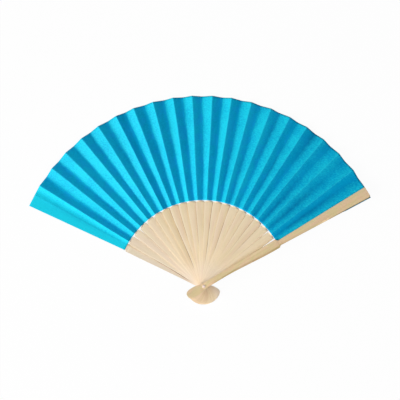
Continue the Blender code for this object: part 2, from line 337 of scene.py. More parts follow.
def makeFibreGroup():
    tree, given, result = newGroup(
        "bambooFibre",
        [("Place", "Vector"), ("Edges", "Vector"), ("Tone", "Float"), ("Worn", "Float"),
         ("Pale", "Color"), ("Deep", "Color"), ("Fibre", "Float"), ("Patches", "Float"),
         ("Right Strip", "Float"), ("Tip Line", "Float")],
        [("Colour", "Color"), ("Roughness", "Float"), ("Height", "Float")],
    )
    patterns = {name: noise(tree, given["Place"], *look) for name, look in bamboo["patterns"].items()}
    edges = addNode(tree, "ShaderNodeSeparateXYZ", {0: given["Edges"]})
    fromLeft, fromRight, rimStrength = edges.outputs

    def mask(name, value):
        return ramp(tree, value, *bamboo["masks"][name])

    def tinted(colour, name, share):
        return mixColour(tree, share, colour, srgb(*bamboo["tints"][name]))

    depth = calculate(tree, "ADD", *[mask(name, patterns[name]) for name in bamboo["depths"]])
    depth = calculate(tree, "MULTIPLY", depth, given["Fibre"])
    depth = calculate(tree, "ADD", depth, given["Tone"])
    colour = mixColour(tree, depth, given["Pale"], given["Deep"])
    colour = tinted(colour, "rosy", mask("rosy", patterns["blush"]))
    colour = tinted(colour, "mossy", mask("mossy", patterns["moss"]))
    for name in ("rosyPatch", "greenPatch"):
        patch = calculate(tree, "MULTIPLY", mask(name, patterns["patches"]), given["Patches"])
        colour = tinted(colour, name, patch)
    colour = tinted(colour, "worn", given["Worn"])
    pore = mask("pore", patterns["pores"])
    colour = tinted(colour, "pore", pore)

    # The left rim: a brown line, the edge's own colour with painted shade of the step, and a painted
    # highlight beside it
    beside = calculate(tree, "MULTIPLY", mask("besideStart", fromLeft), mask("besideEnd", fromLeft),
                       rimStrength)
    colour = tinted(colour, "beside", beside)
    rim = calculate(tree, "MULTIPLY", mask("rim", fromLeft), rimStrength,
                    mask("rimPatchiness", patterns["rimPatchiness"]))
    colour = tinted(colour, "rim", rim)

    # The guards' right side: a dark strip of painted shade on the bare part, and a line near the front tip
    strip = calculate(tree, "MULTIPLY", mask("strip", fromRight), given["Right Strip"],
                      mask("stripBlush", patterns["blush"]), mask("stripSpots", patterns["spots"]))
    colour = tinted(colour, "strip", strip)
    tipLine = calculate(tree, "MULTIPLY", mask("tipLine", fromRight), given["Tip Line"])
    colour = tinted(colour, "tipLine", tipLine)

    height = calculate(tree, "SUBTRACT", addUp(tree, patterns, bamboo["heights"]), pore)
    tree.links.new(colour, result.inputs["Colour"])
    tree.links.new(mask("roughness", patterns["streaks"]), result.inputs["Roughness"])
    tree.links.new(height, result.inputs["Height"])
    return tree


def makeBamboo(name, fibreGroup, look):
    material, tree, shader = newMaterial(name, {"Specular IOR Level": bamboo["specular"]})
    sockets = {
        "Place": attribute(tree, "stickPlace", "Vector"),
        "Edges": attribute(tree, "stickEdges", "Vector"),
        "Tone": attribute(tree, "stickTone"),
        "Worn": attribute(tree, "stickWorn"),
        "Tip Line": attribute(tree, "stickTipLine"),
        "Pale": srgb(*look["pale"]),
        "Deep": srgb(*look["deep"]),
        "Fibre": look["fibre"],
        "Patches": look["patches"],
        "Right Strip": look["rightStrip"],
    }
    fibre = addNode(tree, "ShaderNodeGroup", sockets, node_tree=fibreGroup).outputs
    connectSurface(tree, shader, look, fibre["Colour"], fibre["Roughness"], fibre["Height"])
    return material


fibreGroup = makeFibreGroup()
ribBamboo = makeBamboo("ribBamboo", fibreGroup, ribLook)
guardBamboo = makeBamboo("guardBamboo", fibreGroup, guardLook)


# Sticks: a block cut into slices along and across, with every corner moved into place

stick = {
    "headLength": 18.0,
    "headWidth": 4.9,  # widths here are half widths
    "neckWidth": 2.8,
    "flareStart": 20,
    "shoulderToLeaf": 0.3,
    "shoulderLength": 2.0,
    "headShape": [(-1.0, 0.0), (-0.985, 0.42), (-0.94, 0.68), (-0.86, 0.86), (-0.74, 0.97),
                  (-0.6, 1.0), (-0.5, 0.99), (-0.42, 0.96), (-0.26, 0.84), (-0.12, 0.7)],
    "headSlices": 26,
    "bladeSlices": 26,
    "shoulderSlices": 12,
    "armSlices": 14,
    "bevelAngle": 50,
    "sharpAngle": 32,
    "boreSides": 32,
    "boreLength": 40,
    "grainShift": (37.0, 11.3, 5.1),  # moves the bamboo's patterns on from stick to stick
    "headShade": (0.06, 0.24),  # the heads are a deeper tan, first and last stick
    "headDeepest": (14, 9, 0.38),  # round this stick, over so many sticks, by so much more
    "headFade": (-0.5, -3.0),
    "sideShade": (0.1, 0.42),  # painted shade: each stick darkens towards its right side, the middle ones most
    "sideMiddle": (10, 8, 1.2),  # the middle stick, over how many sticks that fades, its flat top
    "sideFade": (30, 66),
    "paleSticks": (6, 11, 0.15),  # between these sticks the blades turn paler, by so much
    "paleFade": (4, 24),
    "rimStart": (52, 8),  # the brown rims fade towards the rivet, the strong ones last
    "rimFadeLength": 22,
    "firstRim": (8, 22, 50, 64),  # where the first rib's rim shows, against the rear guard
    "wornNeck": 0.45,  # the necks are worn pale, and the heads by a share of that
    "wornHeadShare": 0.3,
    "wornPlaces": (-4, 4, 14, 34),
    "wornGuards": {0: 0.35, 20: 0.0},  # the guards are hardly paler near the rivet
    "wornFirst": 0.35,  # the first sticks are greyer
    "wornSticks": 5,
    "wornRear": 0.25,  # and the rear guard is greyer still
}


def bladeEnd(index):
    return rimRadius("inner", stickAzimuth(index)) - stick["shoulderToLeaf"] - stick["shoulderLength"]


def blockMesh(alongCount, acrossCount, corner):
    bm = bmesh.new()
    bmesh.ops.create_cube(bm, size=1)
    for axis, count in ((0, alongCount), (1, acrossCount)):
        if count > 1:
            edges = [e for e in bm.edges if abs(e.verts[0].co[axis] - e.verts[1].co[axis]) > 0.5]
            bmesh.ops.subdivide_edges(bm, edges=edges, cuts=count - 1)
    for vert in bm.verts:
        along = round((vert.co.x + 0.5) * alongCount)
        across = round((vert.co.y + 0.5) * acrossCount) / acrossCount * 2 - 1
        vert.co = corner(along, across, vert.co.z > 0)
    return bm


def bevelSharp(bm, width, segments):
    sharpest = math.radians(stick["bevelAngle"])
    sharp = [e for e in bm.edges if e.is_manifold and e.calc_face_angle() > sharpest]
    bmesh.ops.bevel(
        bm, geom=sharp, offset=width, offset_type="OFFSET", affect="EDGES", segments=segments,
        profile=0.5, material=-1, clamp_overlap=True,
    )


def headHalfWidth(radius, neck, length):
    shape = [(place * length, share * stick["headWidth"]) for place, share in stick["headShape"]]
    return interpolate(shape + [(0, neck)], radius)


def bareHalfWidth(radius, endWidth, neck, end, headLength=stick["headLength"]):
    if radius < 0:
        return headHalfWidth(radius, neck, headLength)
    return lerp(neck, endWidth, fadeIn(radius, stick["flareStart"], end))


def headStations(length=stick["headLength"]):
    count = stick["headSlices"]
    return [-length * math.cos(math.pi / 2 * i / count) for i in range(count)]


def spaced(start, end, count):
    return [lerp(start, end, step / count) for step in range(1, count + 1)]


def roundStations(start, end, count):
    return [start + (end - start) * math.sin(math.pi / 2 * step / count) for step in range(1, count + 1)]


def boreCutter():
    bm = bmesh.new()
    bmesh.ops.create_cone(
        bm, cap_ends=True, segments=stick["boreSides"], radius1=fan["boreRadius"],
        radius2=fan["boreRadius"], depth=stick["boreLength"],
    )
    return addPiece("boreCutter", bm)


def drilled(bm, name, cutter):
    piece = addPiece(name, bm)
    undrilled = piece.data
    hole = piece.modifiers.new("rivetHole", "BOOLEAN")
    hole.operation = "DIFFERENCE"
    hole.solver = "EXACT"
    hole.object = cutter
    bpy.context.view_layer.update()
    evaluated = piece.evaluated_get(bpy.context.evaluated_depsgraph_get())
    piece.data = bpy.data.meshes.new_from_object(evaluated)
    piece.modifiers.clear()
    piece.data.name = name
    bpy.data.meshes.remove(undrilled)
    return piece


def addAttribute(mesh, name, kind, values):
    layer = mesh.attributes.new(name, kind, "POINT")
    layer.data.foreach_set("vector" if kind == "FLOAT_VECTOR" else "value", values)


def rimShare(radius, rim, index):
    if index == 1:
        return window(radius, *stick["firstRim"])
    start = lerp(*stick["rimStart"], rim)
    return fadeIn(radius, start, start + stick["rimFadeLength"])


def stripShift(radius):
    # Moves the guards' right strip of painted shade off the stick, except on its bare part
    headStart, headEnd, headShift = guard["stripHead"]
    armStart, armEnd, armShift = guard["stripArm"]
    shift = headShift * (1 - fadeIn(radius, headStart, headEnd))
    return shift + armShift * fadeIn(radius, armStart, armEnd)


def stickShades(index):
    deepest, spread, deeper = stick["headDeepest"]
    headShade = lerp(*stick["headShade"], index / lastStick)
    headShade += deeper * smoothStep(1 - abs(index - deepest) / spread)
    middle, spread, flatness = stick["sideMiddle"]
    sideShade = lerp(*stick["sideShade"], smoothStep(flatness - abs(index - middle) / spread))
    paleStart, paleEnd, paler = stick["paleSticks"]
    paler *= fadeIn(index, paleStart, paleEnd) * (index < lastStick)
    worn = stick["wornFirst"] * (1 - smoothStep((index - 1) / stick["wornSticks"]))
    worn += stick["wornRear"] * (index == 0)
    return headShade, sideShade, paler, worn


def finishStick(piece, index, tone, rim, halfWidthAt, material):
    mesh = piece.data
    front = index == lastStick
    headShade, sideShade, paler, wornAll = stickShades(index)
    pitch = math.radians(fan["pitch"])
    places = []
    tones = []
    edges = []
    worn = []
    tipLines = []
    for x, y, z in (vert.co for vert in mesh.vertices):
        fromLeft = max(halfWidthAt(x, True) - y, 0)
        fromRight = max(halfWidthAt(x, False) + y, 0)
        seen = min(fromLeft / max(x * pitch, 1), 1)  # 1 under the next stick's edge
        # the side term is painted shade towards the next stick's edge
        shade = tone + sideShade * (seen - 0.5) * fadeIn(x, *stick["sideFade"])
        shade -= paler * fadeIn(x, *stick["paleFade"])
        shade += headShade * fadeIn(x, *stick["headFade"])
        if front:
            # painted shade round the rivet
            nearRivet = window(x, *guard["rivetShadePlaces"])
            shade += guard["rivetShade"] * fadeIn(-y, *guard["rivetShadeSide"]) * nearRivet
        head = stick["wornHeadShare"] * (1 - fadeIn(x, *stick["wornPlaces"][:2]))
        neck = window(x, *stick["wornPlaces"]) * stick["wornGuards"].get(index, 1)
        places += [place + shift * index for place, shift in zip((x, y, z), stick["grainShift"])]
        tones.append(shade)
        edges += [fromLeft, fromRight + stripShift(x), rim * rimShare(x, rim, index)]
        worn.append(wornAll + stick["wornNeck"] * (head + neck))
        tipLines.append(guard["tipLine"] * fadeIn(x, *guard["tipLinePlaces"]) * front)
    addAttribute(mesh, "stickPlace", "FLOAT_VECTOR", places)
    addAttribute(mesh, "stickEdges", "FLOAT_VECTOR", edges)
    addAttribute(mesh, "stickTone", "FLOAT", tones)
    addAttribute(mesh, "stickWorn", "FLOAT", worn)
    addAttribute(mesh, "stickTipLine", "FLOAT", tipLines)
    mesh.materials.clear()
    mesh.materials.append(material)
    smoothShade(mesh, stick["sharpAngle"])
    mesh.transform(toTable @ stickTurn(index))
    mesh.update()


# Inner ribs: a flat bare blade, then a thin twisted strip behind the leaf

rib = {
    "halfWidth": 4.4,
    "widthSpread": 0.1,
    "leanSpread": 0.08,  # degrees
    "crown": 0.13,
    "crownPlaces": (10, 60),
    "stripHalfWidth": 1.2,
    "stripThickness": 0.16,
    "stripEndGap": 3,
    "twistPower": 4,  # the strip's twist comes late in the shoulder
    "edgeBevel": 0.1,
    "bevelSegments": 2,
    "acrossSlices": 6,
    "seed": 7,
    "toneSpread": 0.14,
    "rim": 0.3,
    "rimSpread": 0.15,
    "darkRims": {1: 1.0, 2: 0.1, 3: 0.4, 4: 0.06, 7: 0.9, 8: 0.6, 9: 0.5, 10: 0.5, 11: 0.3, 12: 0.8,
                 13: 0.35, 14: 0.6, 15: 0.25, 16: 0.4},
    "widths": {1: 0.2, 2: -0.3, 6: 0.5, 7: 0.9, 8: 0.5, 9: 0.3, 12: 0.5, 13: 0.3, 14: 0.5},  # added
    "leans": {2: -0.1, 19: -0.3},  # degrees
}


def makeRib(index, cutter, chance):
    width = rib["halfWidth"] + chance.uniform(-1, 1) * rib["widthSpread"] + rib["widths"].get(index, 0)
    lean = chance.uniform(-1, 1) * rib["leanSpread"] + rib["leans"].get(index, 0)
    tone = chance.uniform(-1, 1) * rib["toneSpread"]
    rim = rib["darkRims"].get(index, rib["rim"] + chance.uniform(-1, 1) * rib["rimSpread"])
    end = bladeEnd(index)
    shoulderEnd = end + stick["shoulderLength"]
    stations = headStations() + [0] + spaced(0, end, stick["bladeSlices"])
    stations += roundStations(end, shoulderEnd, stick["shoulderSlices"])
    stations += spaced(shoulderEnd, fan["leafOuter"] - rib["stripEndGap"], stick["armSlices"])

    def halfWidth(radius):
        bare = bareHalfWidth(radius, width, stick["neckWidth"], end)
        return lerp(bare, rib["stripHalfWidth"], cornerRound((radius - end) / stick["shoulderLength"]))

    def corner(along, across, upper):
        radius = stations[along]
        shoulder = smoothStep((radius - end) / stick["shoulderLength"])
        thickness = lerp(fan["ribThickness"], rib["stripThickness"], shoulder)
        side = across * halfWidth(radius)
        crown = rib["crown"] * (1 - shoulder) * fadeIn(radius, *rib["crownPlaces"])
        up = thickness / 2 - crown * across * across if upper else -thickness / 2
        twist = math.radians(fan["panelTilt"]) * shoulder ** rib["twistPower"]
        centre = -max(radius, 0) * math.tan(panelLag(index)) * shoulder
        centre += max(radius, 0) * math.sin(math.radians(lean)) * (1 - shoulder)
        y = centre + side * math.cos(twist) - up * math.sin(twist)
        z = side * math.sin(twist) + up * math.cos(twist)
        return radius, y, z

    bm = blockMesh(len(stations) - 1, rib["acrossSlices"], corner)
    bevelSharp(bm, rib["edgeBevel"], rib["bevelSegments"])
    piece = drilled(bm, f"bambooRib_{index:02d}", cutter)
    finishStick(piece, index, tone, rim, lambda x, left: halfWidth(x), ribBamboo)
    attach(piece, f"rib_{index:02d}")
    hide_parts(f"rib_{index:02d}")


# Guards: thick outer sticks that step down to a straight arm over or under the leaf

guard = {
    "faceStep": 0.25,
    "leafRelief": 0.4,
    "shoulderPastLeaf": 1.2,
    "stepLength": 2.5,
    "tipCorner": (1.2, 2.4),  # left and right
    "armLeft": 0.5,  # degrees from the guard's own line
    "armRight": 3.07,
    "edgeBevel": 0.3,
    "bevelSegments": 3,
    "rounding": 0.5,  # how far the outer face falls towards its right edge
    "roundingPlaces": (0.2, 1),  # shares of the way there from the middle
    "armFlatness": 0.7,  # how much less the arm is rounded
    "bladeSlices": 24,
    "stepSlices": 8,
    "armSlices": 16,
    "acrossSlices": 8,
    "stripHead": (-8, 34, 3),  # where the right strip's painted shade comes in, and from how far
    "stripArm": (84, 90, 1.4),  # where it goes out again
    "tipLine": 0.9,  # a dark line on the front guard's right edge, near its tip
    "tipLinePlaces": (143, 163),
    "rivetShade": 0.24,  # painted shade: the front guard's right half is darker round the rivet
    "rivetShadePlaces": (-15, -9, 12, 20),
    "rivetShadeSide": (-1, 1.5),
    "front": {"left": 3.15, "right": 6.2, "neck": 2.8, "head": 18.9, "tone": 0.05, "rim": 0.2},
    "rear": {"left": 2.9, "right": 5.3, "neck": 2.5, "head": 18.0, "tone": 0.0, "rim": 0.1},
}


def makeGuard(name, index, sizes, outward, cutter):
    tip = fan["leafOuter"] - fan["tipSetback"]
    shoulderEnd = fan["leafInner"] + guard["shoulderPastLeaf"]
    stepStart = shoulderEnd - guard["stepLength"]
    cornerStart = tip - max(guard["tipCorner"])
    reliefEnd = bladeEnd(index)
    reliefStart = reliefEnd - stick["shoulderLength"]
    slices = guard["stepSlices"]
    stations = headStations(sizes["head"]) + [0] + spaced(0, reliefStart, guard["bladeSlices"])
    stations += spaced(reliefStart, stepStart, slices) + spaced(stepStart, shoulderEnd, slices)
    stations += spaced(shoulderEnd, cornerStart, guard["armSlices"])
    stations += roundStations(cornerStart, tip, slices)

    def halfWidth(radius, left):
        side = sizes["left" if left else "right"]
        bare = bareHalfWidth(radius, side, sizes["neck"], stepStart, sizes["head"])
        arm = max(radius, 0) * math.tan(math.radians(guard["armLeft" if left else "armRight"]))
        corner = guard["tipCorner"][0 if left else 1]
        arm -= corner * cornerRound(1 - (tip - radius) / corner)
        return lerp(bare, arm, smoothStep((radius - stepStart) / guard["stepLength"]))

    def place(along, across, upper):
        radius = stations[along]
        y = across * halfWidth(radius, across > 0)
        height = fan["guardThickness"] / 2
        if (outward > 0) == upper:
            step = smoothStep((radius - stepStart) / guard["stepLength"])
            height -= guard["faceStep"] * step
            rightSide = fadeIn(-across, *guard["roundingPlaces"])
            height -= guard["rounding"] * rightSide * (1 - guard["armFlatness"] * step)
        else:
            relief = smoothStep((radius - reliefEnd) / stick["shoulderLength"] + 1)
            height -= guard["leafRelief"] * relief
        return radius, y, height if upper else -height

    bm = blockMesh(len(stations) - 1, guard["acrossSlices"], place)
    bevelSharp(bm, guard["edgeBevel"], guard["bevelSegments"])
    piece = drilled(bm, name, cutter)
    finishStick(piece, index, sizes["tone"], sizes["rim"], halfWidth, guardBamboo)
    return piece


cutter = boreCutter()
chance = random.Random(rib["seed"])
for number in range(1, fan["ribs"] + 1):
    makeRib(number, cutter, chance)
rearGuard = makeGuard("rearGuardStick", 0, guard["rear"], -1, cutter)
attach(rearGuard, "rear_guard")
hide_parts("rear_guard")
frontGuard = makeGuard("frontGuardStick", lastStick, guard["front"], 1, cutter)
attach(frontGuard, "front_guard")
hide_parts("front_guard")
bpy.data.objects.remove(cutter)
print("stage: sticks made")


# Leaf: one sheet folded into 41 panels, each second panel glued to a stick

leafShape = {
    "columns": 14,  # in each panel
    "rows": 60,
    "paper": 0.1,
    "glue": 0.05,
    "sharpAngle": 25,
    "seed": 23,
    "firstLeft": 1.42,  # degrees from the rear guard's line
    "firstRight": 2.22,
    "lastRight": (2.8, 3.2),  # its edge peeps out beside the arm near the outer rim
    "lastRightPlaces": (0.62, 0.74),  # places along a fold go from 0 to 1
    "scallop": 0.36,  # crests reach out and valleys draw back
    "scallopStart": 0.75,
    "footWander": 0.22,  # degrees
    "crestWander": 0.05,
    "leanMiddle": 0.3,  # where a leaning fold crosses its line
    "bendWave": (0.6, 0.8),  # a wave's height, and how many go along the fold
    "slowWave": (0.35, 1.9),
    "footRipple": (0.3, 4.3),
    "crestLift": 0.1,
    "crestNudges": {3: 0.15, 7: 0.3, 8: 0.3, 10: 0.15, 12: 0.15, 14: -0.15, 15: -0.3, 19: -0.3},
    "nudgeFull": 0.5,  # the nudges are in degrees and grow up to there
    "crestLean": 0.5,  # degrees to the left at the inner rim
    "crestLeans": {1: 0.4, 3: 0.7, 4: 0.1, 5: 0.7, 8: 0.75, 9: 0.75, 10: 0.75, 12: 0.6, 15: 0.3, 19: 0},
    "leanEnd": 5 / 6,
    "crestRound": (0.45, 0.8),
    "bow": 0.05,
    "bowSpread": (-0.4, 1),
    "sag": (0.26, 0.21, 2.4),  # lets a panel pass under the next stick's strip in the closed fan:
    "firstSag": (0.6, 1.45, 1.3),  # depth at the inner and the outer rim, and where it lies
    "lastSag": (-0.5, -1.05, 1.1),  # the last one passes over the strip instead
    "softness": (1.8, 3.4),  # how far a fold's round foot reaches at the outer rim
    "softFeet": {1: 4.2, 6: 4.8, 7: 4.2, 8: 4.2, 11: 4.2, 15: 4.4, 16: 4.6, 17: 4.6, 18: 4.8, 19: 4.8},
    "innerSoftness": 0.4,  # the share of it at the inner rim
    "softWave": (0.35, 1.3),
}
leafToneAndShade = {
    "toneSpread": 0.08,
    "deepPanels": {12: 0.75, 14: 0.3, 16: 0.25, 18: 0.3, 22: 0.3, 24: 0.2, 30: 0.4, 32: 0.4,
                   34: 0.2, 38: 0.4},
    "palePanels": {0: -0.4, 1: -0.2, 6: -0.3, 7: -0.1},
    "deepRight": (0.5, 0.95, 0.44),  # where across the leaf the colour deepens as painted shade, and how much
    "toneSlant": (0.08, 0.42),  # painted shade: how much deeper a panel is at its foot than at its crest
    "sideSlant": (0.12, 0.34),
    "slantPlaces": (0.2, 0.65),
    "footShade": (0.34, 0.66),  # painted shade: how dark the feet are at the first and the last stick
    "footEvenness": 0.75,
    "footWave": (0.35, 0.9),
    "footReach": (1.2, 2.8),  # millimetres at the leaf's inner and outer rim
    "footReachShares": (0.8, 0.25),  # the feet's usual share of it, and how they differ
    "wideFeet": (0.5, 0.85, 0.6),  # where across the leaf the feet's shade widens, and how much
    "softRight": (0.62, 0.9, 0.75),  # where the panels' painted dark side turns soft, and how much
    "sideBlur": (0.6, 0.8),  # millimetres of blur between the two sides' painted shade, at crest and foot
}
panels = 2 * fan["ribs"] + 3
panelAngle = math.radians(fan["panelAngle"])
panelTilt = math.radians(fan["panelTilt"])
leafChance = random.Random(leafShape["seed"])
foldWaves = [[leafChance.uniform(-1, 1) for _ in range(4)] for _ in range(panels + 1)]
foldLifts = [leafChance.uniform(-1, 1) for _ in range(panels + 1)]
panelBows = [leafChance.uniform(*leafShape["bowSpread"]) for _ in range(panels)]
deepStart, deepEnd, deepening = leafToneAndShade["deepRight"]
panelTones = []
for panel in range(panels):
    tone = leafChance.uniform(-1, 1) * leafToneAndShade["toneSpread"]
    tone += leafToneAndShade["deepPanels"].get(panel, 0) + leafToneAndShade["palePanels"].get(panel, 0)
    panelTones.append(tone + deepening * fadeIn(panel / panels, deepStart, deepEnd))
footSizes = [leafShape["softFeet"].get(fold // 2, leafChance.uniform(*leafShape["softness"]))
             for fold in range(panels + 1)]


def foldWeight(fold):
    index = fold // 2
    if index in (0, lastStick):
        return index // lastStick
    followed = frame["record"]["behaviour"]["couplings"]
    return next(c["ratio"] for c in followed if c["joint"] == f"rib_{index:02d}_hinge")


foldWeights = [foldWeight(fold) for fold in range(panels + 1)]


def wave(shape, place, start):
    height, count = shape
    return height * math.sin(math.tau * (place * count + start))


def foldWander(fold, share):
    lean, bend, first, second = foldWaves[fold]
    wander = lean * (share - leafShape["leanMiddle"]) + bend * wave(leafShape["bendWave"], share, first)
    wander += wave(leafShape["slowWave"], share, second)
    return wander + (wave(leafShape["footRipple"], share, first) if fold % 2 else 0)


def guardFoldPoint(radius, index, crest, share):
    lift = fan["guardThickness"] / 2 - guard["leafRelief"] + leafShape["glue"] + leafShape["paper"] / 2
    if index == 0:
        angle = math.radians(leafShape["firstLeft"] if crest else -leafShape["firstRight"])
    elif crest:
        angle = math.atan(math.tan(panelAngle / 2) * math.cos(panelTilt)) - panelLag(index)
    else:
        peep = fadeIn(share, *leafShape["lastRightPlaces"])
        angle = -math.radians(lerp(*leafShape["lastRight"], peep))
    azimuth = stickAzimuth(index) + angle
    height = stackHeight(index) + (lift if index == 0 else -lift)
    return Vector((radius * math.cos(azimuth), radius * math.sin(azimuth), height))


def foldPoint(fold, share):
    index = fold // 2
    crest = fold % 2 == 0
    azimuth = stickAzimuth(index)
    radius = lerp(rimRadius("inner", azimuth), rimRadius("outer", azimuth), share)
    if index in (0, lastStick):
        return guardFoldPoint(radius, index, crest, share)
    radius += leafShape["scallop"] * (1 if crest else -1) * fadeIn(share, leafShape["scallopStart"], 1)
    stray = leafShape["crestWander" if crest else "footWander"] * foldWander(fold, share)
    lift = rib["stripThickness"] / 2 + leafShape["glue"] + leafShape["paper"] / 2
    lift /= math.cos(panelTilt)
    if crest:
        lean = leafShape["crestLeans"].get(index, leafShape["crestLean"])
        stray += leafShape["crestNudges"].get(index, 0) * fadeIn(share, 0, leafShape["nudgeFull"])
        stray += lean * (1 - fadeIn(share, 0, leafShape["leanEnd"]))
        lift += leafShape["crestLift"] * abs(foldLifts[fold]) * share
    side = (panelAngle if crest else -panelAngle) / 2 + math.radians(stray)
    across = radius * math.sin(side)
    point = Vector((radius * math.cos(side), across * math.cos(panelTilt),
                    across * math.sin(panelTilt) + lift))
    turn = Matrix.Rotation(azimuth - panelLag(index), 3, "Z")
    return turn @ point + Vector((0, 0, stackHeight(index)))


def leafPoint(panel, share, along):
    left = foldPoint(panel, along)
    right = foldPoint(panel + 1, along)
    point = left.lerp(right, share)
    if panel == panels - 1:
        return point
    glued = panel % 2 == 0
    foot = panel + 1 if glued else panel
    sides = [foldPoint(foot + step, along) - foldPoint(foot, along) for step in (-1, 1)]
    slope = sum(side.z / side.length for side in sides) / 2
    width = (right - left).length
    fromFoot = width * (1 - share if glued else share)
    waver = 1 + wave(leafShape["softWave"], along, foldWaves[foot][2])
    room = min(side.length for side in sides) / 2 - rib["stripHalfWidth"]
    reach = min(footSizes[foot] * waver * lerp(leafShape["innerSoftness"], 1, along), room)
    point.z += slope * max(reach - fromFoot, 0) ** 2 / (2 * reach)
    crest = panel if glued else panel + 1
    if 0 < crest < panels - 1:
        crestReach = lerp(*leafShape["crestRound"], along)
        point.z -= slope * max(crestReach - (width - fromFoot), 0) ** 2 / (2 * crestReach)
    if not glued:
        kind = {1: "firstSag", panels - 2: "lastSag"}.get(panel, "sag")
        innerSag, outerSag, place = leafShape[kind]
        sag = lerp(innerSag, outerSag, along) + leafShape["bow"] * panelBows[panel] * along
        point.z -= sag * math.sin(math.pi * share ** place)
    return point


def toneAndShadeAt(panel, share, along, onLeftFold):
    # How far the crest is, the painted shade of the foot and of the side turned from the light, and the tone
    glued = panel % 2 == 0
    acrossLeaf = panel / panels
    towardsFoot = share if glued else 1 - share
    panelWidth = panelAngle * lerp(fan["leafInner"], fan["leafOuter"], along)
    fromCrest = towardsFoot * panelWidth
    fromFoot = panelWidth - fromCrest
    foot = panel + 1 if glued else panel
    wideStart, wideEnd, widening = leafToneAndShade["wideFeet"]
    wide = fadeIn(acrossLeaf, wideStart, wideEnd)
    strength = lerp(*leafToneAndShade["footShade"], wide)
    strength *= leafToneAndShade["footEvenness"] + wave(leafToneAndShade["footWave"], along, foldWaves[foot][1])
    usual, differing = leafToneAndShade["footReachShares"]
    reach = lerp(*leafToneAndShade["footReach"], along) * (usual + differing * foldWaves[foot][3])
    reach *= 1 + widening * wide
    footShade = strength / (1 + (fromFoot / reach) ** 2) if 0 < foot < panels else 0

    crestBlur, footBlur = leafToneAndShade["sideBlur"]
    if glued:
        darkSide = fadeIn(fromCrest, -crestBlur, crestBlur) * fadeIn(fromFoot, -footBlur, footBlur)
    else:
        darkSide = fadeIn(-fromCrest, -crestBlur, crestBlur) + fadeIn(-fromFoot, -footBlur, footBlur)
    slant = fadeIn(acrossLeaf, *leafToneAndShade["slantPlaces"])
    darkSide *= 1 + 2 * lerp(*leafToneAndShade["sideSlant"], slant) * (towardsFoot - 0.5)
    softStart, softEnd, softening = leafToneAndShade["softRight"]
    darkSide *= 1 - softening * fadeIn(acrossLeaf, softStart, softEnd)

    before = panelTones[panel - 1 if panel and onLeftFold else panel]
    tone = (before + panelTones[panel]) / 2
    tone += lerp(*leafToneAndShade["toneSlant"], slant) * (towardsFoot - 0.5)
    return (fromCrest, footShade, darkSide if panel > 1 else 0), tone


def makeLeaf():
    inPanel = leafShape["columns"]
    columns = inPanel * panels
    bm = bmesh.new()
    bmesh.ops.create_grid(bm, x_segments=columns, y_segments=leafShape["rows"], size=0.5)
    flatLayer = bm.verts.layers.float_vector.new("leafPlace")
    foldLayer = bm.verts.layers.float_vector.new("leafFolds")
    toneLayer = bm.verts.layers.float.new("leafTone")
    weightLayer = bm.verts.layers.float.new("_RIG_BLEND")
    for vert in bm.verts:
        column = round((vert.co.x + 0.5) * columns)
        panel = min(column // inPanel, panels - 1)
        step = (column - panel * inPanel) / inPanel
        share = 0.5 - 0.5 * math.cos(math.pi * step)
        along = vert.co.y + 0.5
        radius = lerp(fan["leafInner"], fan["leafOuter"], along)
        unfolded = panelAngle * (panel + share)
        vert[flatLayer] = (radius * math.cos(unfolded), radius * math.sin(unfolded), 0)
        vert[foldLayer], vert[toneLayer] = toneAndShadeAt(panel, share, along, step == 0)
        vert[weightLayer] = lerp(foldWeights[panel], foldWeights[panel + 1], share)
        vert.co = leafPoint(panel, share, along)
    bm.transform(toTable)
    bmesh.ops.recalc_face_normals(bm, faces=bm.faces)
    return addPiece("pleatedLeaf", bm)


paperLook = {
    "colour": (29, 221, 247),
    "deep": (0, 170, 223),
    "shadedSide": (0, 176, 240),  # painted shade: the glued panels' face, turned away from the light
    "sideStrength": 0.6,
    # painted shade along each fold's foot
    "foldShade": (0, 104, 158),
    "coolPatch": (26, 168, 252),
    # a painted highlight along the crests
    "crestHighlight": (70, 222, 246),
    "patterns": {
        "clouds": ((0.05, 0.05, 0.05), 3.0, 0.6),
        "mottle": ((0.32, 0.32, 0.32), 2.0, 0.6),
        "fibres": ((0.5, 1.1, 1.0), 3.0, 0.7),
        "tooth": ((3.0, 3.0, 3.0), 3.0, 0.6),
        "drift": ((0.091, 0.091, 0.091), 2.0, 0.5),
    },
    "masks": {
        "clouds": (0.3, 0.7, 0.0, 0.3),
        "mottle": (0.32, 0.68, 0.0, 0.16),
        "fibres": (0.38, 0.62, 0.0, 0.6),
        "cool": (0.45, 0.62, 0.0, 0.28),
        "foot": (0.25, 0.7, 0.75, 1.0),
        "crest": (0.15, 0.6, 0.22, 0.0),
        "crestTooth": (0.35, 0.6, 0.2, 1.0),
        "roughness": (0.3, 0.7, 0.42, 0.54),
    },
    "depths": ("clouds", "mottle", "fibres"),
    "toothDepth": 0.2,
    "paleness": 0.43,
    "heights": {"fibres": 0.6, "tooth": 0.6},
    "specular": 0.06,
    "bump": 0.5,
    "grainDepth": 0.16,
}


